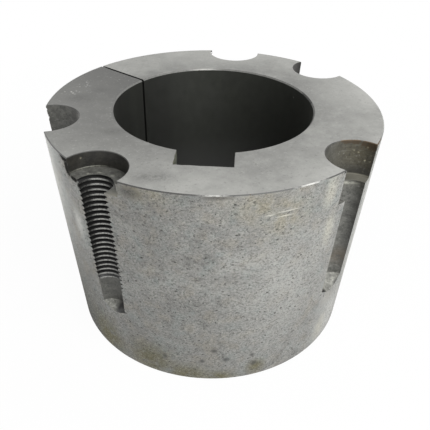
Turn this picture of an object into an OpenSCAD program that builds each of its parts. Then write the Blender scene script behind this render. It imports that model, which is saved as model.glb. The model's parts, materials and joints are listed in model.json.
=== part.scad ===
// Split taper bush. Its bore runs along +Z, the small end stands on Z = 0 and the large end is on top.
// Angles are measured round the bore from +X, anticlockwise seen from the large end.

/* [Tapered body] */
// Diameter across the large end
large_d = 146.05; // [138:0.05:160]
// Length from the small end to the large end
body_l = 101.6; // [85:0.1:130]
// Full angle of the outside taper, in degrees
taper_angle = 8; // [4:0.5:10]
// Edge break round the rim of the large end
large_break = 0.4; // [0.1:0.1:1.5]
// Edge break round the foot of the small end
small_break = 0.8; // [0.1:0.1:2]

/* [Bore and keyway] */
// Wall between the bore and the rim of the large end
wall_t = 29.375; // [26:0.025:42]
// Edge break at both mouths of the bore
bore_break = 0.6; // [0.1:0.1:1.5]
// Width of the keyway
key_w = 22.2; // [10:0.1:28]
// Depth of the keyway below the crown of the bore
key_depth = 10.2; // [5:0.1:12]
// Where the keyway points, in degrees
key_at = -90; // [-100:1:-80]

/* [Split] */
// Width of the saw cut through one side
split_w = 1.2; // [0.8:0.1:4]
// Where the saw cut lies, in degrees
split_at = 145; // [120:1:160]

/* [Screw half holes] */
// How far in from the rim of the large end the hole centres lie
screw_inset = 2.525; // [0:0.005:5]
// Diameter of the recess at the mouth of each hole
recess_d = 25.4; // [20:0.1:26]
// Full angle of the drill point at the bottom of each hole, in degrees
point_angle = 118; // [90:1:140]

/* [Mounting holes] */
// Diameter of a plain mounting hole
mount_d = 17; // [13:0.1:19]
// Depth of the recess that takes the screw head
mount_recess_l = 15.6; // [8:0.1:22]
// Depth from the large end to the shoulder of the drill point
mount_hole_l = 64.6; // [40:0.1:75]
// Where the three mounting holes lie, in degrees
mount_at = [-163.5, -35.5, 84.5];

/* [Jacking holes] */
// Tapping diameter of a threaded jacking hole
jack_d = 13.8; // [10:0.1:16]
// Depth of the recess above the thread
jack_recess_l = 6.9; // [4:0.1:16]
// Depth from the large end to the shoulder of the drill point
jack_hole_l = 69.7; // [45:0.1:78]
// Angle between a jacking hole and the mounting hole beside it, in degrees
jack_step = 40; // [34:1:44]

/* [Hidden] */

$fn = 180;
// Every cut runs past the face that it opens by this much
overrun = 2;

large_r = large_d / 2;
bore_r = large_r - wall_t;
screw_circle_r = large_r - screw_inset;
// How much the outside radius falls over each unit of height
taper_rate = tan(taper_angle / 2);
small_r = large_r - body_l * taper_rate;
// The first and last mounting hole each have a jacking hole on the side that faces the middle one
jack_at = [mount_at[0] + jack_step, mount_at[2] - jack_step];

// Outside radius at a height above the small end
function body_r(z) = small_r + z * taper_rate;

// Half of the bush's section, turned once round the bore
module body_profile() {
    polygon([
        [bore_r + bore_break, 0],
        [small_r - small_break, 0],
        [body_r(small_break), small_break],
        [body_r(body_l - large_break), body_l - large_break],
        [large_r - large_break, body_l],
        [bore_r + bore_break, body_l],
        [bore_r, body_l - bore_break],
        [bore_r, bore_break],
    ]);
}

// Straight square-cornered slot along the whole bore
module keyway() {
    rotate(key_at)
        translate([0, -key_w / 2, -overrun])
            cube([bore_r + key_depth, key_w, body_l + 2 * overrun]);
}

// Radial saw cut that lets the bush close on its shaft
module split() {
    rotate(split_at)
        translate([0, -split_w / 2, -overrun])
            cube([large_r + overrun, split_w, body_l + 2 * overrun]);
}

// Stepped drilling from the large end: a recess, a hole and the cone that the drill point leaves
module drilling(hole_d, recess_l, hole_l) {
    hole_r = hole_d / 2;
    recess_r = recess_d / 2;
    point_l = hole_r / tan(point_angle / 2);
    translate([0, 0, body_l])
        rotate_extrude()
            polygon([
                [0, overrun],
                [recess_r, overrun],
                [recess_r, -recess_l],
                [hole_r, -recess_l],
                [hole_r, -hole_l],
                [0, -hole_l - point_l],
            ]);
}

// Copies a drilling to each angle on the screw circle, so that the rim leaves half of it in the bush
module on_screw_circle(angles) {
    for (a = angles)
        rotate(a)
            translate([screw_circle_r, 0, 0])
                children();
}

module taper_bush() {
    color("darkgray")
        difference() {
            rotate_extrude()
                body_profile();
            keyway();
            split();
            on_screw_circle(mount_at)
                drilling(mount_d, mount_recess_l, mount_hole_l);
            on_screw_circle(jack_at)
                drilling(jack_d, jack_recess_l, jack_hole_l);
        }
}

taper_bush();
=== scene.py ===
# %% [markdown]
# # A split taper bush
#
# The object is a split taper bush: a cast iron ring that wedges between a shaft and a hub. Its outside is turned to
# a shallow cone, its bore has a keyway, a saw cut lets it close, and screws sit in half holes down its outside.
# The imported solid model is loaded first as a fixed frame. Everything below takes its place from that frame, in
# metres, so nothing is fitted by eye.

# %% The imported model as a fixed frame
import json
import math

import bmesh
import bpy
from mathutils import Matrix, Vector, noise


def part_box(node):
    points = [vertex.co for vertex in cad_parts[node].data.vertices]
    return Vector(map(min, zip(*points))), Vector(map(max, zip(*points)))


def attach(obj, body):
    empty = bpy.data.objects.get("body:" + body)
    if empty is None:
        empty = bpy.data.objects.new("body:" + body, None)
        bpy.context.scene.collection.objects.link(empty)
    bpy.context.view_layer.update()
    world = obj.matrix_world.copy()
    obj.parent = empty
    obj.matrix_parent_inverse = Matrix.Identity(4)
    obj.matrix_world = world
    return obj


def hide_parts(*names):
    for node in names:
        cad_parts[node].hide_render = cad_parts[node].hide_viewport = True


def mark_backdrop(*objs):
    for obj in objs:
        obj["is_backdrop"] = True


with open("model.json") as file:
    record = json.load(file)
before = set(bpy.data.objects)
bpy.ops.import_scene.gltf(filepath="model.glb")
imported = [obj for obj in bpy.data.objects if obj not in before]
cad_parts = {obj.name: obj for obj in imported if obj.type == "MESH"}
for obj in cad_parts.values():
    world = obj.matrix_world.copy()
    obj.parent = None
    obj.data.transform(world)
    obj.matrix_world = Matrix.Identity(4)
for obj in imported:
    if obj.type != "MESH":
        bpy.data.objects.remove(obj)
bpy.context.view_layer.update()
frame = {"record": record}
low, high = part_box("taper_bush")
mounts = {mount["name"]: mount for mount in frame["record"]["mounts"]}

# %% [markdown]
# ## Sizes
#
# The length and the bore are read from the frame. The other sizes can't be read from a box or a mount, so they are
# written once here, the way a workshop drawing gives them: the rim and the taper, then the drillings, the thread,
# the keyway and the saw cut.

# %% Sizes, in metres and radians
MM = 0.001
LENGTH = high.z - low.z
BORE_R = mounts["shaft_bore"]["dims"]["r_mm"] * MM
RIM_R = 146.05 / 2 * MM
TAPER = math.tan(math.radians(8 / 2))
RIM_BREAK = 0.4 * MM
FOOT_BREAK = 0.8 * MM
BORE_BREAK = 0.6 * MM

SCREW_CIRCLE_R = 70.5 * MM
RECESS_R = 25.4 / 2 * MM
MOUTH_BREAK = 0.25 * MM
POINT_HALF_ANGLE = math.radians(118 / 2)
MOUNT_R, MOUNT_RECESS, MOUNT_DEPTH = 17 / 2 * MM, 15.6 * MM, 64.6 * MM
JACK_R, JACK_RECESS, JACK_DEPTH = 13.8 / 2 * MM, 6.9 * MM, 69.7 * MM
MOUNT_AT = (-163.5, -35.5, 84.5)
JACK_STEP = 40
JACK_AT = (MOUNT_AT[0] + JACK_STEP, MOUNT_AT[2] - JACK_STEP)

PITCH = 25.4 / 11 * MM
THREAD_R = 15.875 / 2 * MM
THREAD_END = 57.4 * MM

KEY_W = 22.2 * MM
KEY_FLOOR_R = BORE_R + 10.2 * MM
SPLIT_W = 1.2 * MM
SPLIT_AT = 145
OVERRUN = 2 * MM


def outside_r(height):
    """Radius of the tapered outside at a height above the small end."""
    return RIM_R - (LENGTH - height) * TAPER


print("rim", round(2 * RIM_R / MM, 2), "foot", round(2 * outside_r(0) / MM, 2), "bore", round(2 * BORE_R / MM, 2))

# %% [markdown]
# ## Camera
#
# The photo looks down on the large end from a little over half a turn's slope, with the keyway towards the viewer.
# A camera could be aimed at a target by hand. Here its place, its tilt and its lens come from a fit of the rim,
# bore and foot outlines, so straight edges and ellipses fall where the photo has them. The small shift puts the
# object where it lies in the picture.

# %% Camera
CAMERA_TURN = math.radians(3.5)
CAMERA_AWAY = 223.26 * MM
CAMERA_ABOVE = 99.24 * MM
CAMERA_PITCH = math.radians(32.859)
CAMERA_YAW = math.radians(-0.092)
CAMERA_ROLL = math.radians(0.968)
LENS = 45.879
SHIFT = (0.00503, -0.0577)

camera = bpy.data.objects.new("camera", bpy.data.cameras.new("camera"))
bpy.context.scene.collection.objects.link(camera)
camera.data.lens = LENS
camera.data.shift_x, camera.data.shift_y = SHIFT
camera.matrix_world = (
    Matrix.Rotation(CAMERA_TURN, 4, "Z")
    @ Matrix.Translation((0, -CAMERA_AWAY, LENGTH + CAMERA_ABOVE))
    @ Matrix.Rotation(CAMERA_YAW, 4, "Z")
    @ Matrix.Rotation(math.pi / 2 - CAMERA_PITCH, 4, "X")
    @ Matrix.Rotation(CAMERA_ROLL, 4, "Z")
)
bpy.context.scene.camera = camera
print("camera at", tuple(round(v, 4) for v in camera.matrix_world.translation))

# %% [markdown]
# ## Node helpers
#
# Every finish and every node tree below is built from the same few steps, so they get short helpers. The first
# adds a node and fills its sockets. The others are small pieces of arithmetic and colour.

# %% Node helpers
def add(tree, kind, values=None, **settings):
    """Adds a node, sets its properties, and fills its sockets with links or plain values."""
    node = tree.nodes.new(kind)
    for name, value in settings.items():
        setattr(node, name, value)
    for name, value in (values or {}).items():
        if isinstance(value, bpy.types.NodeSocket):
            tree.links.new(value, node.inputs[name])
        else:
            node.inputs[name].default_value = value
    return node


def calc(tree, operation, *values):
    """One step of arithmetic on sockets or numbers."""
    return add(tree, "ShaderNodeMath", dict(enumerate(values)), operation=operation).outputs[0]


def ramp(tree, value, start, end, low_out=0.0, high_out=1.0):
    """Straight ramp from low_out at start to high_out at end, held flat outside."""
    values = {"Value": value, "From Min": start, "From Max": end, "To Min": low_out, "To Max": high_out}
    return add(tree, "ShaderNodeMapRange", values, clamp=True).outputs["Result"]


def laid(tree, under, over, amount, strength=1.0):
    """Lays one colour over another, by an amount that varies over the surface."""
    share = calc(tree, "MULTIPLY", amount, strength)
    first, second = 6, 7
    return add(tree, "ShaderNodeMix", {0: share, first: under, second: over}, data_type="RGBA").outputs[2]


def shown(red, green=None, blue=None):
    """A colour as it looks on screen, from 0 to 1, turned into the linear colour that a shader takes."""
    levels = (red, red, red * 0.975) if green is None else (red, green, blue)
    return tuple(((c + 0.055) / 1.055) ** 2.4 for c in levels) + (1.0,)


# %% [markdown]
# ## Patterns
#
# Worn iron is cloudy at several scales, peppered with specks, and stained here and there. Each of these is a
# pattern of its own. All of them read the piece's own coordinates in metres, so they stay on the surface and keep
# their real size, and none needs an unwrapped image.

# %% Patterns
def cloud(tree, place, size, detail=3.0, roughness=0.55, stretch=(1, 1, 1), bend=0.0):
    """Cloudy pattern of about 0 to 1 whose lumps are size metres across, drawn out by stretch."""
    scale = tuple(1 / (size * s) for s in stretch)
    moved = add(tree, "ShaderNodeMapping", {"Vector": place, "Scale": scale}).outputs[0]
    values = {"Vector": moved, "Scale": 1.0, "Detail": detail, "Roughness": roughness, "Distortion": bend}
    return add(tree, "ShaderNodeTexNoise", values).outputs["Fac"]


def specks(tree, place, spacing, share, radius, soft=0.35):
    """Scattered specks: 1 inside, 0 outside. share is the part of the cells that hold one."""
    cells = add(tree, "ShaderNodeTexVoronoi", {"Vector": place, "Scale": 1 / spacing})
    pick = add(tree, "ShaderNodeSeparateColor", {"Color": cells.outputs["Color"]}).outputs
    chosen = ramp(tree, pick["Red"], share, share - 0.02)
    size = ramp(tree, pick["Green"], 0, 1, 0.5 * radius / spacing, radius / spacing)
    edge = calc(tree, "DIVIDE", cells.outputs["Distance"], size)
    return calc(tree, "MULTIPLY", ramp(tree, edge, 1.0 + soft, 1.0 - soft), chosen)


def patch(tree, place, centre, reach):
    """Soft patch round one place in millimetres: 1 at its middle and 0 at its reach along each axis."""
    offset = add(tree, "ShaderNodeVectorMath", {0: place, 1: tuple(c * MM for c in centre)}, operation="SUBTRACT")
    values = {0: offset.outputs[0], 1: tuple(r * MM for r in reach)}
    shares = add(tree, "ShaderNodeVectorMath", values, operation="DIVIDE").outputs[0]
    length = add(tree, "ShaderNodeVectorMath", {0: shares}, operation="LENGTH").outputs["Value"]
    values = {"Value": length, "From Min": 1.0, "From Max": 0.0}
    return add(tree, "ShaderNodeMapRange", values, interpolation_type="SMOOTHSTEP").outputs["Result"]


def patches(tree, place, spots, broken=None, low=0.35, high=0.6):
    """The strongest of several soft patches, broken up by a cloud where one is given."""
    whole = 0.0
    for centre, reach in spots:
        whole = calc(tree, "MAXIMUM", patch(tree, place, centre, reach), whole)
    if broken is None:
        return whole
    return calc(tree, "MULTIPLY", whole, ramp(tree, broken, low, high))


def ragged(tree, place, spots, grain):
    """Full patches with a torn border, which follows a grain."""
    torn = calc(tree, "MULTIPLY", calc(tree, "SUBTRACT", grain, 0.5), 2.4)
    return ramp(tree, calc(tree, "ADD", patches(tree, place, spots), torn), 0.4, 0.55)


def axis(tree, place, name):
    """One coordinate of the place, in metres."""
    return add(tree, "ShaderNodeSeparateXYZ", {0: place}).outputs[name]


def from_axis(tree, place):
    """Distance from the axis of the bore, in metres."""
    x, y = axis(tree, place, "X"), axis(tree, place, "Y")
    square = calc(tree, "ADD", calc(tree, "MULTIPLY", x, x), calc(tree, "MULTIPLY", y, y))
    return calc(tree, "SQRT", square)


# %% Starting and ending a finish
def new_finish(name, metal):
    """A new material; returns it with its tree, its shader and the piece's own coordinates."""
    material = bpy.data.materials.new(name)
    material.use_nodes = True
    tree = material.node_tree
    shader = tree.nodes["Principled BSDF"]
    shader.inputs["Metallic"].default_value = metal
    place = add(tree, "ShaderNodeTexCoord").outputs["Object"]
    return material, tree, shader, place


def dress(tree, shader, colour, roughness, height, depth):
    """Links colour and roughness, and gives the surface a relief of the given depth in metres."""
    tree.links.new(colour, shader.inputs["Base Color"])
    tree.links.new(roughness, shader.inputs["Roughness"])
    relief = add(tree, "ShaderNodeBump", {"Height": height, "Distance": depth, "Strength": 1.0})
    tree.links.new(relief.outputs[0], shader.inputs["Normal"])


print("helpers ready")

# %% [markdown]
# ## Finish of the end faces
#
# Plain grey iron looks different wherever a different tool has been, so each kind of cut gets a finish of its own,
# and each cutter below hands its finish to the faces that it leaves. The end faces are faced on the lathe: satin,
# with faint rings round the bore and a cloudy bloom. The rings are a pattern of the distance from the axis alone.
# A painted sheen makes the face lighter towards the rim and on the right and the back. The lip on the far side of
# the saw cut has sprung a hair out of level, and its darker look there is painted shade. Some light scuffs and
# smudges lie on the left.

# %% Finish of the end faces
RING_SPACING = 0.5 * MM
FACE_SCUFFS = (((-66, 7, 101.6), (6, 5, 3)), ((-62, 16, 101.6), (4, 7, 3)))
FACE_SMUDGES = (
    ((-60, 1, 101.6), (11, 7, 4)),
    ((-53, 11, 101.6), (6, 5, 4)),
    ((-38, -30, 101.6), (9, 5, 4)),
    ((36, -14, 101.6), (10, 5, 4)),
    ((-17, -63, 101.6), (14, 6, 4)),
)
# painted sheen on the right and the back of the end face
FACE_PAINTED_SHEEN = (((65, 24, 101.6), (28, 44, 8)), ((-4, 62, 101.6), (48, 26, 8)))
LIP_FADE = 125


def faced_end():
    material, tree, shader, place = new_finish("faced_end", 0.3)
    bloom = cloud(tree, place, 22 * MM, 3.0)
    blotch = cloud(tree, place, 6 * MM, 3.0, 0.6)
    fine = cloud(tree, place, 1.1 * MM, 4.0, 0.7)
    away = from_axis(tree, place)
    rings = add(tree, "ShaderNodeCombineXYZ", {"X": calc(tree, "DIVIDE", away, RING_SPACING)}).outputs[0]
    rings = add(tree, "ShaderNodeTexNoise", {"Vector": rings, "Scale": 1.0, "Detail": 3.0}).outputs["Fac"]

    # painted sheen: the face is drawn lighter towards the rim
    colour = laid(tree, shown(0.56), shown(0.675), ramp(tree, away, 46 * MM, 71 * MM))
    colour = laid(tree, colour, shown(0.76), ramp(tree, bloom, 0.5, 0.7), 0.4)
    colour = laid(tree, colour, shown(0.48), ramp(tree, bloom, 0.48, 0.3), 0.35)
    colour = laid(tree, colour, shown(0.74), ramp(tree, blotch, 0.52, 0.7), 0.25)
    colour = laid(tree, colour, shown(0.46), ramp(tree, blotch, 0.48, 0.32), 0.2)
    # painted sheen on the right and the back
    colour = laid(tree, colour, shown(0.82), patches(tree, place, FACE_PAINTED_SHEEN), 0.35)
    # painted shade on the sprung lip behind the saw cut
    colour = laid(tree, colour, shown(0.37), sprung_lip_shade(tree, place), 0.90)
    colour = laid(tree, colour, shown(0.80), ramp(tree, fine, 0.58, 0.7), 0.35)
    colour = laid(tree, colour, shown(0.40), ramp(tree, fine, 0.43, 0.3), 0.45)
    smudges = patches(tree, place, FACE_SMUDGES, fine)
    colour = laid(tree, colour, shown(0.36), smudges, 0.65)
    scuffs = calc(tree, "MULTIPLY", patches(tree, place, FACE_SCUFFS), specks(tree, place, 1.3 * MM, 0.5, 0.55 * MM))
    colour = laid(tree, colour, shown(0.86), scuffs, 0.8)
    colour = laid(tree, colour, shown(0.36), specks(tree, place, 4.5 * MM, 0.25, 0.45 * MM), 0.4)

    roughness = calc(tree, "ADD", ramp(tree, fine, 0.3, 0.7, 0.50, 0.58), ramp(tree, bloom, 0.3, 0.7, 0.0, 0.06))
    relief = calc(tree, "ADD", fine, calc(tree, "MULTIPLY", rings, 0.6))
    dress(tree, shader, colour, roughness, relief, 0.012 * MM)
    return material


def sprung_lip_shade(tree, place):
    """Painted shade on the sprung lip: 1 just behind the saw cut, falling to 0 as the angle from the cut grows."""
    turned_back = add(tree, "ShaderNodeVectorRotate", {"Vector": place, "Angle": -math.radians(SPLIT_AT)},
                      rotation_type="Z_AXIS").outputs[0]
    across, along = axis(tree, turned_back, "Y"), axis(tree, turned_back, "X")
    angle = calc(tree, "ARCTAN2", across, along)
    behind = ramp(tree, angle, 0, math.radians(LIP_FADE), 1.0, 0.0)
    return calc(tree, "MULTIPLY", behind, calc(tree, "GREATER_THAN", angle, 0.0))


# %% [markdown]
# ## Finish of the taper
#
# The tapered side has the open grain of cast iron that was turned and then handled: a light ground, dense dark
# flecks under a millimetre, fewer round specks, tan and brown stains, and some scratches. It is worn smooth beside
# the right-hand hole and along the left, with fewer flecks there. Painted light lies on the front, painted sheen in
# bands down the left and the right, and painted shade on the lower left and towards the foot. Each of these is one
# layer of colour over the last, and the flecks also drive the roughness and the relief, so that they still read when
# the light changes.

# %% Places on the taper, in millimetres
WORN_SMOOTH = (((-58, -42, 70), (26, 22, 70)), ((53, -44, 40), (13, 13, 60)), ((70, -20, 50), (26, 26, 80)))
PAINTED_SHEEN_BANDS = (
    ((-67, -30, 84), (22, 24, 50)),
    ((-50, -51, 71), (5, 5, 11)),
    ((70, -18, 60), (22, 24, 80)),
    ((56, -34, 12), (20, 18, 28)),
)
TAN_STAIN = (((30, -66, 90), (18, 12, 15)), ((22, -69, 96), (24, 8, 11)), ((-19, -70, 100), (20, 8, 8)))
PALE_STREAKS = (((46, -56, 95), (5, 5, 12)), ((48, -53, 76), (4, 5, 12)), ((53, -40, 10), (6, 8, 12)))
SCRATCHES = (((31, -65.6, 92.2), (7, 6, 0.45)), ((29.5, -66, 90.2), (5, 5, 0.4)), ((24, -67.5, 91.5), (3, 3, 0.4)))
PAINTED_LIGHT_FRONT = (((31, -62, 52), (34, 24, 58)),)
BROWN_FOOT = (
    ((-43, -51, 8), (19, 15, 20)),
    ((-22, -63, 8), (21, 13, 18)),
    ((-6, -66, 3), (18, 10, 11)),
    ((8, -66, 2), (12, 10, 7)),
    ((24, -62, 6), (7, 7, 8)),
)
DEEP_PITS = (
    ((6, -67, 20), (2.6, 3, 2.2)),
    ((11, -66, 14), (2.2, 3, 2.2)),
    ((1, -67, 13), (2.0, 3, 2.0)),
    ((23, -62.5, 9), (2.4, 3, 2.6)),
    ((22, -63, 15), (1.8, 3, 1.6)),
    ((-15, -65, 13), (1.8, 3, 2.2)),
)
RIM_NICKS = (((7, -73, 100.6), (10, 3, 1.3)), ((-24, -68.5, 98.5), (8, 5, 4)))
TORN_LIP = (
    ((-51.6, -51.4, 101), (6, 6, 3.5)),
    ((-50.7, -52.5, 97), (4, 4.5, 7)),
    ((-48, -54.7, 94), (5, 4.5, 2.6)),
    ((-45, -56, 92), (3, 3, 3)),
)
FOOT_SHADE_TOP = 62 * MM
LEFT_PAINTED_SHADE = (((-61, -35, -12), (50, 42, 98)),)


# %% Finish of the taper
def speckled_taper():
    material, tree, shader, place = new_finish("speckled_taper", 0.22)
    wide = cloud(tree, place, 16 * MM, 3.0)
    middle = cloud(tree, place, 5 * MM, 3.0)
    grain = cloud(tree, place, 0.80 * MM, 5.0, 0.8, (1.1, 1.1, 0.9), 0.9)
    open_grain = ramp(tree, patches(tree, place, WORN_SMOOTH), 0.15, 0.75, 1.0, 0.3)

    colour = laid(tree, shown(0.545), shown(0.635), ramp(tree, wide, 0.32, 0.68))
    colour = laid(tree, colour, shown(0.46), ramp(tree, middle, 0.5, 0.3), 0.6)
    tint = cloud(tree, place, 7 * MM, 2.0)
    colour = laid(tree, colour, shown(0.61, 0.585, 0.53), ramp(tree, tint, 0.53, 0.68), 0.4)
    colour = laid(tree, colour, shown(0.56, 0.60, 0.59), ramp(tree, tint, 0.47, 0.32), 0.4)
    # painted light on the front of the side
    colour = laid(tree, colour, shown(0.72), patches(tree, place, PAINTED_LIGHT_FRONT), 0.5)
    # painted sheen in bands down the left and the right, with a painted glint by the left-hand hole
    colour = laid(tree, colour, shown(0.83), patches(tree, place, PAINTED_SHEEN_BANDS, wide, 0.1, 0.45), 0.85)

    colour = laid(tree, colour, shown(0.59, 0.56, 0.46), patches(tree, place, TAN_STAIN, middle, 0.3, 0.6), 0.6)
    colour = laid(tree, colour, shown(0.76, 0.75, 0.70), patches(tree, place, PALE_STREAKS, middle, 0.2, 0.4), 0.8)
    # painted shade: the side gets darker towards the foot
    foot_shade = calc(tree, "MULTIPLY", ramp(tree, axis(tree, place, "Z"), FOOT_SHADE_TOP, 0), ramp(tree, wide, 0.3, 0.6, 0.5, 1))
    colour = laid(tree, colour, shown(0.40), foot_shade, 0.32)
    # painted shade over the lower left of the side, which is also made rougher below
    left_shade = patches(tree, place, LEFT_PAINTED_SHADE)
    colour = laid(tree, colour, shown(0.20, 0.20, 0.165), left_shade, 0.95)
    colour = laid(tree, colour, shown(0.38, 0.36, 0.23), patches(tree, place, BROWN_FOOT, middle, 0.27, 0.50), 0.9)

    flecks = calc(tree, "MULTIPLY", ramp(tree, grain, 0.49, 0.37), open_grain)
    dots = calc(tree, "MULTIPLY", specks(tree, place, 2.6 * MM, 0.40, 0.60 * MM), open_grain)
    colour = laid(tree, colour, shown(0.80, 0.79, 0.75), ramp(tree, grain, 0.54, 0.66), 0.45)
    colour = laid(tree, colour, shown(0.20, 0.20, 0.18), flecks, 0.80)
    colour = laid(tree, colour, shown(0.24, 0.24, 0.22), dots, 0.35)
    colour = laid(tree, colour, shown(0.17), patches(tree, place, DEEP_PITS, grain, 0.35, 0.5), 0.8)
    colour = laid(tree, colour, shown(0.16), patches(tree, place, RIM_NICKS, grain, 0.45, 0.52), 0.8)
    lip = ragged(tree, place, TORN_LIP, grain)
    colour = laid(tree, colour, shown(0.08, 0.08, 0.065), lip, 0.95)
    colour = laid(tree, colour, shown(0.88, 0.87, 0.82), patches(tree, place, SCRATCHES, middle, 0.15, 0.35), 0.75)

    tree.links.new(ramp(tree, lip, 0, 1, 0.5, 0.05), shader.inputs["Specular IOR Level"])
    tree.links.new(ramp(tree, lip, 0, 1, 0.22, 0.0), shader.inputs["Metallic"])
    dull = calc(tree, "MULTIPLY", calc(tree, "MAXIMUM", left_shade, lip), 0.35)
    roughness = calc(tree, "ADD", ramp(tree, grain, 0.35, 0.6, 0.66, 0.46), dull)
    relief = calc(tree, "ADD", ramp(tree, grain, 0.36, 0.5), calc(tree, "MULTIPLY", dots, -0.7))
    dress(tree, shader, colour, roughness, relief, 0.05 * MM)
    return material


# %% [markdown]
# ## Finish of the edges
#
# The small breaks round the rims are where a bush is knocked about. On this one the outer rim shows as a dark
# crisp line with two or three bright glints, and the bore's own edge is as light as the face. They are narrow, so
# their colour does most of the work, and the glints are painted highlights: patches that are brighter and smoother.

# %% Finish of the edges
RIM_PAINTED_GLINTS = (((5, -73, 101.6), (7, 4, 2)), ((38, -62, 101.6), (10, 8, 2)), ((73, -8, 101.6), (20, 30, 4)))
BORE_PAINTED_GLINTS = (((-7, 43, 101.6), (11, 5, 3)),)
BORE_NICKS = (((42, 12, 101.6), (5, 18, 3)), ((-20, -39, 101.6), (8, 6, 3)))
RUST_SPOTS = (
    ((65, -30.5, 101), (11, 8, 5)),
    ((68.5, -33, 94), (6, 6, 13)),
    ((56, -28.3, 101), (9, 4, 2)),
    ((-64, -12, 99), (4, 6, 4)),
)


def edge_finish(name, ground, painted_glint_spots):
    material, tree, shader, place = new_finish(name, 0.3)
    bits = cloud(tree, place, 1.2 * MM, 3.0, 0.6)
    painted_glints = patches(tree, place, painted_glint_spots, bits, 0.25, 0.5)
    colour = laid(tree, shown(ground * 0.8), shown(ground), ramp(tree, bits, 0.3, 0.7))
    # painted highlights on the edge
    colour = laid(tree, colour, shown(0.76), painted_glints, 0.85)
    colour = laid(tree, colour, shown(0.15), ragged(tree, place, BORE_NICKS, bits), 0.8)
    colour = laid(tree, colour, shown(0.33, 0.26, 0.17), ragged(tree, place, RUST_SPOTS, bits), 0.9)
    roughness = calc(tree, "SUBTRACT", ramp(tree, bits, 0.3, 0.7, 0.46, 0.58), calc(tree, "MULTIPLY", painted_glints, 0.1))
    dress(tree, shader, colour, roughness, bits, 0.04 * MM)
    return material


# %% [markdown]
# ## Finish of the bore, the keyway and the saw cut
#
# The bore is dark with a film of oil, and only faint marks run down it, where it was bored and then handled. The
# keyway was broached, which leaves straight lines along it. The saw cut is nearly black. All three are one
# function: a dark ground with a pattern that is drawn out along the axis.

# %% Finish of the bore, the keyway and the saw cut
SHADY_SIDE = (((-36, 34, 70), (30, 30, 90)), ((-44, 6, 70), (26, 28, 90)))
TORN_EDGE = (((-11.1, -49, 100), (2.5, 9, 13)),)
PALE_FROM, PALE_BELOW = 64 * MM, 46 * MM


def drawn_finish(name, dark, light, lump, length, depth):
    material, tree, shader, place = new_finish(name, 0.25)
    marks = cloud(tree, place, lump, 3.0, 0.6, (1, 1, length))
    haze = cloud(tree, place, 14 * MM, 2.0)
    low_tone, high_tone = (shown(level, level * 1.03, level * 0.93) for level in (dark, light))
    colour = laid(tree, low_tone, high_tone, ramp(tree, marks, 0.25, 0.75))
    colour = laid(tree, colour, shown(light * 1.15), ramp(tree, haze, 0.5, 0.7), 0.2)
    colour = laid(tree, colour, shown(light * 1.45), ramp(tree, axis(tree, place, "Z"), PALE_FROM, PALE_BELOW), 0.6)
    colour = laid(tree, colour, shown(dark * 0.6), patches(tree, place, SHADY_SIDE), 0.65)
    colour = laid(tree, colour, shown(0.5), specks(tree, place, 9 * MM, 0.3, 0.5 * MM), 0.5)
    torn = patches(tree, place, TORN_EDGE, cloud(tree, place, 1.2 * MM), 0.4, 0.55)
    colour = laid(tree, colour, shown(0.55, 0.55, 0.48), torn, 0.8)
    roughness = ramp(tree, marks, 0.3, 0.7, 0.48, 0.54)
    dress(tree, shader, colour, roughness, marks, depth)
    return material


# %% [markdown]
# ## Finish of the drilled surfaces
#
# The recesses, ledges, plain holes and drill points share one recipe as well: a cloudy ground with small dark and
# bright chips, and stains at chosen places. Painted shade lies in the corners, down one side of the holes and on
# the drill points, painted highlights along the lips, and painted light on the open ledges. The right-hand recess
# has gone olive and rusty brown near its outer end, the left one is a dull grey, and the one above the thread is
# almost black with old cutting oil.

# %% Finish of the drilled surfaces
CHIP_SPOTS = (((62, -29, 94), (9, 7, 8)), ((66, -31, 100), (6, 5, 4)), ((-49, -52.5, 98.5), (8, 8, 9)))
HOLE_STAIN = (((58, -34, 47), (8, 7, 8)),)
LIP_PAINTED_GLINTS = (
    ((56, -33, 84.6), (7, 7, 1.3)),
    ((-43, -49, 95.05), (11, 10, 0.4)),
    ((-43.0, -51.7, 94.7), (1.2, 1.1, 0.6)),
    ((-39.2, -50.6, 94.7), (1.5, 1.0, 0.6)),
    ((-33.8, -52.4, 94.7), (1.3, 1.2, 0.6)),
)
CORNER_SHADE = (
    ((62, -30, 87.5), (16, 12, 5)),
    ((62.5, -34, 62), (8, 8, 42)),
    ((68, -33, 92), (8, 8, 14)),
    ((-31.5, -58, 40), (6, 8, 18)),
)
DRILL_POINT_SHADE = (((-33, -57, 31), (6.5, 8, 9)), ((51.5, -45, 36.2), (5, 5, 6)), ((60, -37, 34), (5, 6, 4)))
OLIVE_WALL = (((60, -30, 96), (19, 14, 18)),)
LEDGE_PAINTED_LIGHT = (((-29.5, -66, 95.5), (7, 6, 7)), ((61, -31, 86.35), (12, 8, 0.8)))


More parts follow.
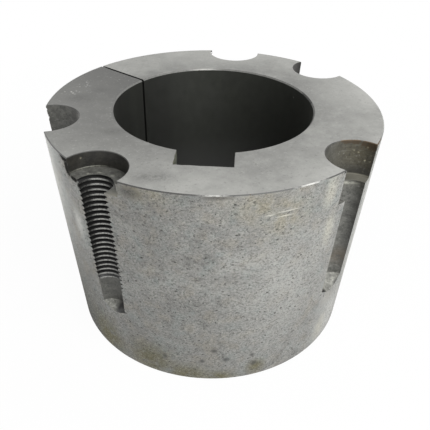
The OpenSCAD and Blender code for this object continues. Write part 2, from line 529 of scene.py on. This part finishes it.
def drilled_finish(name, dark, light, metal=0.2, tone=(1, 1, 0.95)):
    material, tree, shader, place = new_finish(name, metal)
    lumps = cloud(tree, place, 3.5 * MM, 4.0, 0.65)
    bits = cloud(tree, place, 1.0 * MM, 4.0, 0.7)
    turns = cloud(tree, place, 0.8 * MM, 2.0, 0.5, (5, 5, 1), 0.6)
    low, high_tone = (shown(*(level * t for t in tone)) for level in (dark, light))
    colour = laid(tree, low, high_tone, ramp(tree, lumps, 0.38, 0.62))
    colour = laid(tree, colour, shown(0.305, 0.285, 0.215), patches(tree, place, OLIVE_WALL), 0.85)
    colour = laid(tree, colour, shown(light * 1.4), ramp(tree, turns, 0.54, 0.74), 0.2)
    colour = laid(tree, colour, shown(dark * 0.6), ramp(tree, turns, 0.46, 0.28), 0.25)
    colour = laid(tree, colour, shown(dark * 0.4), ramp(tree, bits, 0.46, 0.34), 0.6)
    colour = laid(tree, colour, shown(light * 1.7), ramp(tree, bits, 0.60, 0.7), 0.5)
    colour = laid(tree, colour, shown(0.25, 0.20, 0.13), ragged(tree, place, RUST_SPOTS, bits), 0.85)
    colour = laid(tree, colour, shown(0.17), patches(tree, place, CORNER_SHADE), 0.7)
    colour = laid(tree, colour, shown(0.36, 0.31, 0.25), patches(tree, place, HOLE_STAIN, lumps, 0.3, 0.5), 0.6)
    # painted highlights along the lips and ledge edges of the holes
    colour = laid(tree, colour, shown(0.75, 0.75, 0.70), patches(tree, place, LIP_PAINTED_GLINTS, bits, 0.3, 0.55), 0.7)
    # painted light on the open parts of the ledges
    colour = laid(tree, colour, shown(0.61, 0.60, 0.55), patches(tree, place, LEDGE_PAINTED_LIGHT), 0.9)
    # painted shade on the shaded side of each drill point
    colour = laid(tree, colour, shown(0.10), ramp(tree, patches(tree, place, DRILL_POINT_SHADE), 0.1, 0.6), 0.95)
    loose = specks(tree, place, 1.6 * MM, 0.3, 0.5 * MM)
    chips = calc(tree, "MULTIPLY", patches(tree, place, CHIP_SPOTS, bits, 0.38, 0.48), loose)
    colour = laid(tree, colour, shown(0.74, 0.72, 0.62), chips, 0.8)
    roughness = ramp(tree, bits, 0.3, 0.7, 0.36, 0.55)
    dress(tree, shader, colour, roughness, calc(tree, "ADD", bits, lumps), 0.04 * MM)
    return material


# %% [markdown]
# ## Finish of the thread
#
# The tap has left black oily grooves, and the crests between them are what remains of the drilled hole. Two finishes
# are enough, because the groove faces come from the tap and the crest faces from the drill. The crests are nearly
# pure metal and fairly smooth, so they glint. A painted highlight lies on them in a strip down the back of each
# hole, and they are darker towards both sides.

# %% Finish of the thread
CREST_PAINTED_HIGHLIGHT = (((-40.2, -53, 70), (6.5, 5.5, 110)), ((45.4, 44.6, 70), (6.5, 6.5, 110)))


def thread_finish(name, metal, dark, light, smooth):
    material, tree, shader, place = new_finish(name, metal)
    bits = cloud(tree, place, 1.0 * MM, 3.0, 0.6)
    # painted highlight in a strip down the back of each threaded hole
    colour = laid(tree, shown(dark), shown(light), patches(tree, place, CREST_PAINTED_HIGHLIGHT, bits, 0.2, 0.5))
    roughness = ramp(tree, bits, 0.3, 0.7, smooth, smooth + 0.14)
    dress(tree, shader, colour, roughness, bits, 0.03 * MM)
    return material


# %% [markdown]
# ## Material slots
#
# Every mesh that the mesh code below builds carries the same list of finishes in the same order, and the grown
# taps, pits and chips carry the finish their trees set. A face then keeps its finish through every cut, because
# its slot number means the same thing on the bush and on the cutter.

# %% Material slots
FINISHES = {
    "faced_end": faced_end(),
    "taper": speckled_taper(),
    "bore": drawn_finish("dark_bore", 0.17, 0.195, 3 * MM, 1.5, 0.008 * MM),
    "keyway": drawn_finish("broached_keyway", 0.29, 0.38, 1.2 * MM, 12, 0.06 * MM),
    "split": drawn_finish("sawn_split", 0.09, 0.13, 1.2 * MM, 8, 0.05 * MM),
    "rim": edge_finish("rim_edge", 0.34, RIM_PAINTED_GLINTS),
    "bore_edge": edge_finish("bore_edge", 0.50, BORE_PAINTED_GLINTS),
    "mount_recess": drilled_finish("mount_recess", 0.29, 0.38),
    "jack_recess": drilled_finish("jack_recess", 0.11, 0.18, tone=(1, 0.97, 0.86)),
    "ledge": drilled_finish("recess_ledge", 0.37, 0.46),
    "plain_hole": drilled_finish("plain_hole", 0.36, 0.46),
    "tap_drill": drilled_finish("tap_drilled_hole", 0.35, 0.41),
    "drill_point": drilled_finish("drill_point", 0.47, 0.61, metal=0.08),
    "groove": thread_finish("oily_groove", 0.1, 0.05, 0.11, 0.35),
    "crest": thread_finish("bright_crest", 0.7, 0.38, 0.66, 0.20),
    "pit": drilled_finish("open_pit", 0.28, 0.40, metal=0.05),
    "chip": drilled_finish("chipped_corner", 0.12, 0.24, metal=0.05),
}
SLOT = {name: index for index, name in enumerate(FINISHES)}
print(len(FINISHES), "finishes")

# %% [markdown]
# ## Turning
#
# The bush starts as a casting that is turned on a lathe, and every drill leaves a turned shape behind too. Blender
# has Spin and Screw for this, but a few lines of mesh code give full control: each corner of the outline becomes a
# ring of points, and each stretch between two corners carries the finish that its tool left. The same function
# makes the body and all the drills.

# %% Turning an outline into a closed mesh
def turned(name, outline, segments, ring=False):
    """Turns (radius, height, finish of the stretch to the next corner) round Z into a closed mesh."""
    shape = bmesh.new()
    steps = [math.tau * i / segments for i in range(segments)]
    rows = []
    for radius, height, _ in outline:
        if radius == 0:
            rows.append([shape.verts.new((0, 0, height))])
        else:
            rows.append([shape.verts.new((radius * math.cos(a), radius * math.sin(a), height)) for a in steps])
    stretches = list(zip(rows, rows[1:], outline))
    if ring:
        stretches.append((rows[-1], rows[0], outline[-1]))
    for first, second, (_, _, finish) in stretches:
        for i in range(segments):
            j = (i + 1) % segments
            corners = [first[i % len(first)], first[j % len(first)], second[j % len(second)], second[i % len(second)]]
            face = shape.faces.new(list(dict.fromkeys(corners)))
            face.material_index = SLOT[finish]
    bmesh.ops.recalc_face_normals(shape, faces=shape.faces)
    return finished(name, shape)


def finished(name, shape):
    """Puts a bmesh into the scene as an object at the origin, with every finish in its slots."""
    mesh = bpy.data.meshes.new(name)
    shape.to_mesh(mesh)
    shape.free()
    for material in FINISHES.values():
        mesh.materials.append(material)
    piece = bpy.data.objects.new(name, mesh)
    bpy.context.scene.collection.objects.link(piece)
    return piece


# %% The turned body
BODY_SEGMENTS = 288

body_outline = [
    (BORE_R + BORE_BREAK, 0, "faced_end"),
    (outside_r(0) - FOOT_BREAK, 0, "rim"),
    (outside_r(FOOT_BREAK), FOOT_BREAK, "taper"),
    (outside_r(LENGTH - RIM_BREAK), LENGTH - RIM_BREAK, "rim"),
    (RIM_R - RIM_BREAK, LENGTH, "faced_end"),
    (BORE_R + BORE_BREAK, LENGTH, "bore_edge"),
    (BORE_R, LENGTH - BORE_BREAK, "bore"),
    (BORE_R, BORE_BREAK, "bore_edge"),
]
bush = turned("taper_bush_dressed", body_outline, BODY_SEGMENTS, ring=True)
print("turned body", len(bush.data.polygons), "faces")

# %% [markdown]
# ## Drilling
#
# Five half holes run down the outside: a large drill has sunk a recess for the screw head, and a smaller one has
# gone on and left the cone of its point at the bottom. They could be modelled as grooves, but cutting the body
# with the drills' own shape gives the true outline where each hole leaves the tapered side. Each drill here is a
# turned solid that runs past the face, with a small break at its mouth.

# %% Drills
DRILL_SEGMENTS = 96


def drill(name, hole_r, recess, depth, recess_finish, wall):
    """The solid that one stepped drilling removes. wall lists where each finish of the hole's wall starts."""
    point = hole_r / math.tan(POINT_HALF_ANGLE)
    outline = [
        (0, OVERRUN, "rim"),
        (RECESS_R + MOUTH_BREAK + OVERRUN, OVERRUN, "rim"),
        (RECESS_R, -MOUTH_BREAK, recess_finish),
        (RECESS_R, -recess, "ledge"),
    ]
    outline += [(hole_r, -start, finish) for start, finish in wall]
    outline += [(hole_r, -depth, "drill_point"), (0, -depth - point, "drill_point")]
    return turned(name, outline, DRILL_SEGMENTS)


def at_screw(piece, angle):
    """Moves a mesh from the origin to a screw's place on the large end, its seam facing out of the bush."""
    place = Matrix.Rotation(math.radians(angle), 4, "Z") @ Matrix.Translation((SCREW_CIRCLE_R, 0, LENGTH))
    piece.data.transform(place @ Matrix.Rotation(math.pi, 4, "Z"))
    return piece


cutters = []
for angle in MOUNT_AT:
    wall = [(MOUNT_RECESS, "plain_hole")]
    cutters.append(at_screw(drill("mount_drill", MOUNT_R, MOUNT_RECESS, MOUNT_DEPTH, "mount_recess", wall), angle))
for angle in JACK_AT:
    wall = [(JACK_RECESS, "crest"), (THREAD_END, "tap_drill")]
    cutters.append(at_screw(drill("jack_drill", JACK_R, JACK_RECESS, JACK_DEPTH, "jack_recess", wall), angle))
print(len(cutters), "drills")

# %% [markdown]
# ## Tapping
#
# Two of the half holes carry a thread, so that the same screws can push the bush out of its hub. A thread is a
# groove that follows a helix, which is a rule, so Geometry Nodes make it. The tree starts from a plain cylinder
# with eight rings to each turn. It lowers the rings that fall between the teeth, lifts every point by its share
# of a turn, and lets the groove run out at the bottom as a tap does. The result is the tap itself, and it cuts
# the drilled hole as a real tap would.

# %% The node tree of the tap
RINGS_PER_TURN = 8
ROOT_SHARE = 1 / 16
FLANK_SHARE = 0.26


def tap_tree(finish):
    """A tree that grows a threaded rod, from its foot at height 0 upwards."""
    tree = bpy.data.node_groups.new("tap", "GeometryNodeTree")
    sizes = (("Pitch", "NodeSocketFloat"), ("Turns", "NodeSocketInt"), ("Core Radius", "NodeSocketFloat"),
             ("Tooth Radius", "NodeSocketFloat"), ("Segments", "NodeSocketInt"), ("Run Out", "NodeSocketFloat"))
    for name, kind in sizes:
        tree.interface.new_socket(name, in_out="INPUT", socket_type=kind)
    tree.interface.new_socket("Geometry", in_out="OUTPUT", socket_type="NodeSocketGeometry")
    given = add(tree, "NodeGroupInput").outputs
    length = calc(tree, "MULTIPLY", given["Turns"], given["Pitch"])
    rings = calc(tree, "MULTIPLY", given["Turns"], RINGS_PER_TURN)
    values = {"Vertices": given["Segments"], "Side Segments": rings, "Radius": given["Tooth Radius"],
              "Depth": length}
    rod = add(tree, "GeometryNodeMeshCylinder", values, fill_type="TRIANGLE_FAN").outputs["Mesh"]

    spot = add(tree, "ShaderNodeSeparateXYZ", {0: add(tree, "GeometryNodeInputPosition").outputs[0]}).outputs
    turn = calc(tree, "DIVIDE", calc(tree, "ARCTAN2", spot["Y"], spot["X"]), math.tau)
    height = calc(tree, "ADD", spot["Z"], calc(tree, "DIVIDE", length, 2))
    rise = calc(tree, "DIVIDE", height, given["Pitch"])
    phase = calc(tree, "FRACT", calc(tree, "ADD", rise, 1 / (2 * RINGS_PER_TURN)))
    off_root = calc(tree, "ABSOLUTE", calc(tree, "SUBTRACT", phase, 0.5))
    tooth = ramp(tree, off_root, ROOT_SHARE, ROOT_SHARE + FLANK_SHARE, 1.0, 0.0)
    started = ramp(tree, height, 0, given["Run Out"])
    reach = calc(tree, "MULTIPLY", tooth, started)
    spare = calc(tree, "SUBTRACT", given["Tooth Radius"], given["Core Radius"])
    radius = calc(tree, "ADD", given["Core Radius"], calc(tree, "MULTIPLY", spare, reach))
    shrink = calc(tree, "DIVIDE", radius, given["Tooth Radius"])
    values = {"X": calc(tree, "MULTIPLY", spot["X"], shrink), "Y": calc(tree, "MULTIPLY", spot["Y"], shrink),
              "Z": calc(tree, "ADD", height, calc(tree, "MULTIPLY", turn, given["Pitch"]))}
    moved = add(tree, "ShaderNodeCombineXYZ", values).outputs[0]
    rod = add(tree, "GeometryNodeSetPosition", {"Geometry": rod, "Position": moved}).outputs[0]
    rod = add(tree, "GeometryNodeRealizeInstances", {0: rod}).outputs[0]
    rod = add(tree, "GeometryNodeSetMaterial", {"Geometry": rod, "Material": finish}).outputs[0]
    add(tree, "NodeGroupOutput", {"Geometry": rod})
    return tree


# %% Growing the taps
TAP_SEGMENTS = 97
TAP_CLEAR = 0.03 * MM
TURNS_ABOVE_LEDGE = 2


def grown(name, tree, sizes, sheet=None):
    """Runs a tree with named sizes on a sheet, or on nothing, and returns the result as a plain mesh object."""
    seed = sheet or bpy.data.objects.new(name + "_seed", bpy.data.meshes.new(name + "_seed"))
    if sheet is None:
        bpy.context.scene.collection.objects.link(seed)
    modifier = seed.modifiers.new(name, "NODES")
    modifier.node_group = tree
    for socket in tree.interface.items_tree:
        if socket.in_out == "INPUT" and socket.name in sizes:
            modifier[socket.identifier] = sizes[socket.name]
    seen = seed.evaluated_get(bpy.context.evaluated_depsgraph_get())
    piece = bpy.data.objects.new(name, bpy.data.meshes.new_from_object(seen))
    bpy.context.scene.collection.objects.link(piece)
    bpy.data.objects.remove(seed)
    return piece


tap_turns = math.ceil((THREAD_END - JACK_RECESS) / PITCH) + TURNS_ABOVE_LEDGE
tap_sizes = {
    "Pitch": PITCH,
    "Turns": tap_turns,
    "Core Radius": JACK_R - TAP_CLEAR,
    "Tooth Radius": THREAD_R,
    "Segments": TAP_SEGMENTS,
    "Run Out": 1.2 * PITCH,
}
tree = tap_tree(FINISHES["groove"])
for angle in JACK_AT:
    tap = grown("tap", tree, tap_sizes)
    tap.data.transform(Matrix.Translation((0, 0, -THREAD_END)))
    cutters.append(at_screw(tap, angle))
print("taps with", tap_turns, "turns and", len(tap.data.polygons), "faces each")

# %% [markdown]
# ## Broaching and sawing
#
# A broach pulled through the bore leaves the keyway, and in cast iron its edges tear a little. So its cutter isn't
# a clean block: its walls are divided finely and pushed in and out by a smooth noise, more at the torn left edge
# near the top. The split is a plain saw cut through one side.

# %% Keyway cutter
KEY_STEP = 1.0 * MM
KEY_ROW = 1.6 * MM
KEY_TOP_R = 30 * MM
KEY_WAVE = 0.10 * MM
KEY_TEAR = 0.35 * MM
TEAR_DEPTH = 14 * MM
TEAR_LUMP = 2.2 * MM


def line_points(start, end, step):
    """Points from start towards end, about one step apart, without the end."""
    count = max(1, round((end - start).length / step))
    return [start.lerp(end, i / count) for i in range(count)]


def key_cutter():
    """A long block for the keyway, its walls slightly torn."""
    half = KEY_W / 2
    corners = [Vector(c) for c in ((-half, -KEY_TOP_R), (-half, -KEY_FLOOR_R), (half, -KEY_FLOOR_R), (half, -KEY_TOP_R))]
    outline = []
    for start, end in zip(corners, corners[1:] + corners[:1]):
        outline += line_points(start, end, KEY_STEP)
    shape = bmesh.new()
    count = round((LENGTH + 2 * OVERRUN) / KEY_ROW)
    rows = []
    for i in range(count + 1):
        height = -OVERRUN + (LENGTH + 2 * OVERRUN) * i / count
        row = []
        for x, y in outline:
            torn = max(0.0, 1 - (LENGTH - height) / TEAR_DEPTH) * (x < 0)
            wave = (KEY_WAVE + KEY_TEAR * torn) * noise.noise(Vector((x, y, height)) / TEAR_LUMP)
            side = wave if abs(abs(x) - half) < 1e-6 else 0
            floor = wave if abs(y + KEY_FLOOR_R) < 1e-6 else 0
            row.append(shape.verts.new((x + side, y + floor, height)))
        rows.append(row)
    for below, above in zip(rows, rows[1:]):
        for i in range(len(outline)):
            j = (i + 1) % len(outline)
            shape.faces.new((below[i], below[j], above[j], above[i]))
    shape.faces.new(rows[0])
    shape.faces.new(rows[-1])
    for face in shape.faces:
        face.material_index = SLOT["keyway"]
    bmesh.ops.recalc_face_normals(shape, faces=shape.faces)
    return finished("broach", shape)


# %% Saw cut
SAW_START_R = 30 * MM


def saw_cutter():
    """A thin blade through one side, from inside the bore to outside the rim."""
    shape = bmesh.new()
    bmesh.ops.create_cube(shape, size=1.0)
    length = RIM_R + OVERRUN - SAW_START_R
    bmesh.ops.scale(shape, vec=(length, SPLIT_W, LENGTH + 2 * OVERRUN), verts=shape.verts)
    bmesh.ops.translate(shape, vec=(SAW_START_R + length / 2, 0, LENGTH / 2), verts=shape.verts)
    bmesh.ops.rotate(shape, matrix=Matrix.Rotation(math.radians(SPLIT_AT), 3, "Z"), verts=shape.verts)
    for face in shape.faces:
        face.material_index = SLOT["split"]
    return finished("saw", shape)


cutters += [key_cutter(), saw_cutter()]
print(len(cutters), "cutters so far")

# %% [markdown]
# ## Pits and chips
#
# Cast iron has open pores, and its sharp corners chip. Both are small hollows strewn without order but never on
# top of each other, which is a rule again, so one Geometry Nodes tree makes both. It strews points over a sheet
# with a smallest distance between them, sets a flattened ball on each, turned to face out of the sheet, sizes the
# balls at random, and dents them with a noise. The sheet for the pits is the tapered side itself. The sheet for the
# chips is a narrow ribbon down each corner where a front recess leaves the side. The balls are then cut out like
# any drill.

# %% The node tree that strews hollows
def scatter_tree(finish):
    """A tree that strews dented flat balls over a sheet."""
    tree = bpy.data.node_groups.new("scatter", "GeometryNodeTree")
    tree.interface.new_socket("Sheet", in_out="INPUT", socket_type="NodeSocketGeometry")
    sizes = (("Spacing", "NodeSocketFloat"), ("Density", "NodeSocketFloat"), ("Cluster Size", "NodeSocketFloat"),
             ("Smallest", "NodeSocketVector"), ("Largest", "NodeSocketVector"), ("Dent", "NodeSocketFloat"),
             ("Seed", "NodeSocketInt"))
    for name, kind in sizes:
        tree.interface.new_socket(name, in_out="INPUT", socket_type=kind)
    tree.interface.new_socket("Geometry", in_out="OUTPUT", socket_type="NodeSocketGeometry")
    given = add(tree, "NodeGroupInput").outputs
    lumps = add(tree, "ShaderNodeTexNoise", {"Scale": calc(tree, "DIVIDE", 1, given["Cluster Size"])}).outputs["Fac"]
    values = {"Mesh": given["Sheet"], "Distance Min": given["Spacing"], "Density Max": given["Density"],
              "Density Factor": ramp(tree, lumps, 0.35, 0.6), "Seed": given["Seed"]}
    strewn = add(tree, "GeometryNodeDistributePointsOnFaces", values, distribute_method="POISSON").outputs
    ball = add(tree, "GeometryNodeMeshIcoSphere", {"Radius": 1.0, "Subdivisions": 2}).outputs["Mesh"]
    values = {0: given["Smallest"], 1: given["Largest"], "Seed": given["Seed"]}
    size = add(tree, "FunctionNodeRandomValue", values, data_type="FLOAT_VECTOR").outputs[0]
    values = {"Points": strewn["Points"], "Instance": ball, "Rotation": strewn["Rotation"], "Scale": size}
    balls = add(tree, "GeometryNodeInstanceOnPoints", values).outputs[0]
    balls = add(tree, "GeometryNodeRealizeInstances", {0: balls}).outputs[0]
    grain = add(tree, "ShaderNodeTexNoise", {"Scale": calc(tree, "DIVIDE", 0.25, given["Dent"])}).outputs["Color"]
    push = add(tree, "ShaderNodeVectorMath", {0: grain, 1: (0.5, 0.5, 0.5)}, operation="SUBTRACT").outputs[0]
    values = {0: push, "Scale": given["Dent"]}
    push = add(tree, "ShaderNodeVectorMath", values, operation="SCALE").outputs[0]
    balls = add(tree, "GeometryNodeSetPosition", {"Geometry": balls, "Offset": push}).outputs[0]
    balls = add(tree, "GeometryNodeSetMaterial", {"Geometry": balls, "Material": finish}).outputs[0]
    add(tree, "NodeGroupOutput", {"Geometry": balls})
    return tree


# %% The sheets
SHEET_GAP = 3 * MM
RIBBON_HALF = 0.9 * MM
CHIPPED = (MOUNT_AT[0], JACK_AT[0], MOUNT_AT[1])
CHIPPED_DOWN = 6 * MM


def sheet_of(name, quads):
    """A mesh of loose four-cornered faces."""
    shape = bmesh.new()
    for quad in quads:
        shape.faces.new([shape.verts.new(corner) for corner in quad])
    return finished(name, shape)


def side_point(angle, height):
    """The point on the tapered side at an angle and a height."""
    radius = outside_r(height)
    return Vector((radius * math.cos(angle), radius * math.sin(angle), height))


def strip(first, last, foot, head):
    """Part of the tapered side between two angles and two heights, facing outwards."""
    return [side_point(first, foot), side_point(last, foot), side_point(last, head), side_point(first, head)]


def corner_angles(centre):
    """The two angles at which the recess round a screw angle meets the rim."""
    square = SCREW_CIRCLE_R ** 2 + RIM_R ** 2 - RECESS_R ** 2
    half = math.acos(square / (2 * SCREW_CIRCLE_R * RIM_R))
    return math.radians(centre) - half, math.radians(centre) + half


step = math.tau / BODY_SEGMENTS
side_quads = [strip(i * step, (i + 1) * step, SHEET_GAP, LENGTH - SHEET_GAP) for i in range(BODY_SEGMENTS)]
half = RIBBON_HALF / RIM_R
ribbon_quads = [strip(a - half, a + half, LENGTH - CHIPPED_DOWN, LENGTH) for c in CHIPPED for a in corner_angles(c)]

# %% Growing the pits and chips
pit_sizes = {
    "Spacing": 3.0 * MM,
    "Density": 60000.0,
    "Cluster Size": 14 * MM,
    "Smallest": (0.16 * MM, 0.16 * MM, 0.12 * MM),
    "Largest": (0.60 * MM, 0.45 * MM, 0.30 * MM),
    "Dent": 0.18 * MM,
    "Seed": 7,
}
chip_sizes = {
    "Spacing": 1.0 * MM,
    "Density": 2000000.0,
    "Cluster Size": 2 * MM,
    "Smallest": (0.35 * MM, 0.35 * MM, 0.30 * MM),
    "Largest": (0.95 * MM, 0.85 * MM, 0.65 * MM),
    "Dent": 0.30 * MM,
    "Seed": 3,
}
side_sheet, ribbon_sheet = sheet_of("side_sheet", side_quads), sheet_of("ribbon_sheet", ribbon_quads)
cutters.append(grown("pits", scatter_tree(FINISHES["pit"]), pit_sizes, side_sheet))
cutters.append(grown("chips", scatter_tree(FINISHES["chip"]), chip_sizes, ribbon_sheet))
BALL_FACES = 80
print("pits", len(cutters[-2].data.polygons) / BALL_FACES, "chips", len(cutters[-1].data.polygons) / BALL_FACES)

# %% [markdown]
# ## Cutting
#
# The cuts are made in the order of the workshop: drills, taps, broach, saw, then wear. Each cut is a Boolean
# modifier that hands the cutter's finish to the faces it leaves, and it is applied at once, because the next cut
# needs a plain closed mesh. The cutters are then thrown away.

# %% Cutting
def cut(piece, cutter):
    """Takes the cutter's solid out of the piece for good."""
    modifier = piece.modifiers.new("cut", "BOOLEAN")
    modifier.operation = "DIFFERENCE"
    modifier.solver = "MANIFOLD"
    modifier.material_mode = "TRANSFER"
    modifier.object = cutter
    seen = piece.evaluated_get(bpy.context.evaluated_depsgraph_get())
    mesh = bpy.data.meshes.new_from_object(seen)
    piece.modifiers.clear()
    piece.data = mesh
    bpy.data.objects.remove(cutter)


for cutter in cutters:
    cut(bush, cutter)

EDGE_ANGLE = math.radians(30)
for polygon in bush.data.polygons:
    polygon.use_smooth = True
bush.data.set_sharp_from_angle(angle=EDGE_ANGLE)
counts = {}
for polygon in bush.data.polygons:
    name = bush.data.materials[polygon.material_index].name
    counts[name] = counts.get(name, 0) + 1
bush.data.calc_loop_triangles()
print("cut bush", len(bush.data.polygons), "faces", len(bush.data.loop_triangles), "triangles", counts)

# %% [markdown]
# ## Floor, background and light
#
# The photo is a plain studio shot on white. A white floor is enough: it shows white to the camera and to
# reflections, keeps a faint shadow, and sends only a little light back up, so the foot of the bush stays darker
# as in the photo. A large soft lamp stands to the right, and two small ones stand low at the left and at the back.

# %% Floor
FLOOR_R = 3.0
FLOOR_SEGMENTS = 96
FLOOR_GREY = (0.30, 0.30, 0.30, 1)
FLOOR_PALE = (0.90, 0.90, 0.90, 1)
WHITE = (1, 1, 1, 1)
NEAR_GLOW, FAR_GLOW = 0.96, 1.0
NEAR_R, FAR_R = 0.10, 0.40


def sees_background(tree):
    """1 for the camera, for gloss and for glass, and 0 for soft light."""
    path = add(tree, "ShaderNodeLightPath").outputs
    seen = calc(tree, "MAXIMUM", path["Is Camera Ray"], path["Is Glossy Ray"])
    return calc(tree, "MAXIMUM", seen, path["Is Transmission Ray"])


def studio_floor():
    """A wide disc under the bush."""
    shape = bmesh.new()
    bmesh.ops.create_circle(shape, cap_ends=True, segments=FLOOR_SEGMENTS, radius=FLOOR_R)
    mesh = bpy.data.meshes.new("studio_floor")
    shape.to_mesh(mesh)
    shape.free()
    material = bpy.data.materials.new("studio_floor")
    material.use_nodes = True
    tree = material.node_tree
    tree.nodes.clear()
    seen = sees_background(tree)
    place = add(tree, "ShaderNodeTexCoord").outputs["Object"]
    paper = add(tree, "ShaderNodeBsdfDiffuse", {"Color": laid(tree, FLOOR_GREY, FLOOR_PALE, seen)}).outputs[0]
    glow = add(tree, "ShaderNodeEmission", {"Color": WHITE}).outputs[0]
    share = calc(tree, "MULTIPLY", seen, ramp(tree, from_axis(tree, place), NEAR_R, FAR_R, NEAR_GLOW, FAR_GLOW))
    surface = add(tree, "ShaderNodeMixShader", {0: share, 1: paper, 2: glow}).outputs[0]
    add(tree, "ShaderNodeOutputMaterial", {"Surface": surface})
    mesh.materials.append(material)
    piece = bpy.data.objects.new("studio_floor", mesh)
    bpy.context.scene.collection.objects.link(piece)
    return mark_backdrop(piece)


studio_floor()

# %% Background
SKY_LIGHT = 0.35

world = bpy.data.worlds.new("studio")
bpy.context.scene.world = world
world.use_nodes = True
tree = world.node_tree
tree.nodes.clear()
level = ramp(tree, sees_background(tree), 0, 1, SKY_LIGHT, 1.0)
sky = add(tree, "ShaderNodeBackground", {"Color": WHITE, "Strength": level}).outputs[0]
add(tree, "ShaderNodeOutputWorld", {"Surface": sky})

# %% Lamps
LAMPS = (
    ("key", (0.39, -0.46, 0.46), 0.62, 5.9),
    ("back_fill", (0.05, 0.55, 0.05), 0.09, 1.6),
    ("left_fill", (-0.55, 0.12, 0.05), 0.09, 1.3),
)
AIM = Vector((0, 0, LENGTH / 2))

for name, place, side, power in LAMPS:
    lamp = bpy.data.objects.new(name, bpy.data.lights.new(name, "AREA"))
    lamp.data.shape = "DISK"
    lamp.data.size = side
    lamp.data.energy = power
    lamp.location = place
    lamp.rotation_euler = (AIM - lamp.location).to_track_quat("-Z", "Y").to_euler()
    bpy.context.scene.collection.objects.link(lamp)
bpy.context.scene.view_settings.view_transform = "Standard"
print(len(LAMPS), "lamps")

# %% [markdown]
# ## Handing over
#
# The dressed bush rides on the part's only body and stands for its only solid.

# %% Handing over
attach(bush, "root")
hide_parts("taper_bush")
